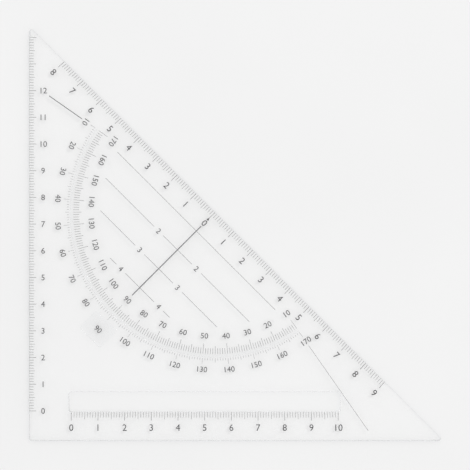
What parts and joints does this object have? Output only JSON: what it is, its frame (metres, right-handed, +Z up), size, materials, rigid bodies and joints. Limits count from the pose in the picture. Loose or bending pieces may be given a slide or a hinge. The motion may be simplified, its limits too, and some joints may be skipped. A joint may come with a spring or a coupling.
{
  "type": "set square",
  "caption": "Clear flat 45 degree set square with a protractor on its hypotenuse, a ruled window, guide lines and printed scales.",
  "frame": {"origin": "middle of the object's box, on the underside that it rests on", "axes": "+Z up out of the printed face, +X along the bottom leg from the right-angled corner, +Y up the left leg"},
  "size_m": [0.1544, 0.1544, 0.0021],
  "materials": {
    "clear_plastic": "clear polished acrylic",
    "grey_ink": "matt dark grey printing ink"
  },
  "bodies": {
    "root": {"clear_plate": "clear_plastic", "hypotenuse_scale": "grey_ink", "left_leg_scale": "grey_ink", "window_scale": "grey_ink", "inner_degree_scale": "grey_ink", "outer_degree_scale": "grey_ink", "right_angle_line": "grey_ink", "ten_degree_line": "grey_ink", "one_seventy_degree_line": "grey_ink", "guide_line_1cm_left": "grey_ink", "guide_line_1cm_right": "grey_ink", "guide_line_2cm_left_inner": "grey_ink", "guide_line_2cm_left_outer": "grey_ink", "guide_line_2cm_right_inner": "grey_ink", "guide_line_2cm_right_outer": "grey_ink", "guide_line_3cm_left_inner": "grey_ink", "guide_line_3cm_left_outer": "grey_ink", "guide_line_3cm_right_inner": "grey_ink", "guide_line_3cm_right_outer": "grey_ink", "guide_line_4cm_left_inner": "grey_ink", "guide_line_4cm_left_outer": "grey_ink", "guide_line_4cm_right_inner": "grey_ink", "guide_line_4cm_right_outer": "grey_ink"}
  },
  "joints": []
}
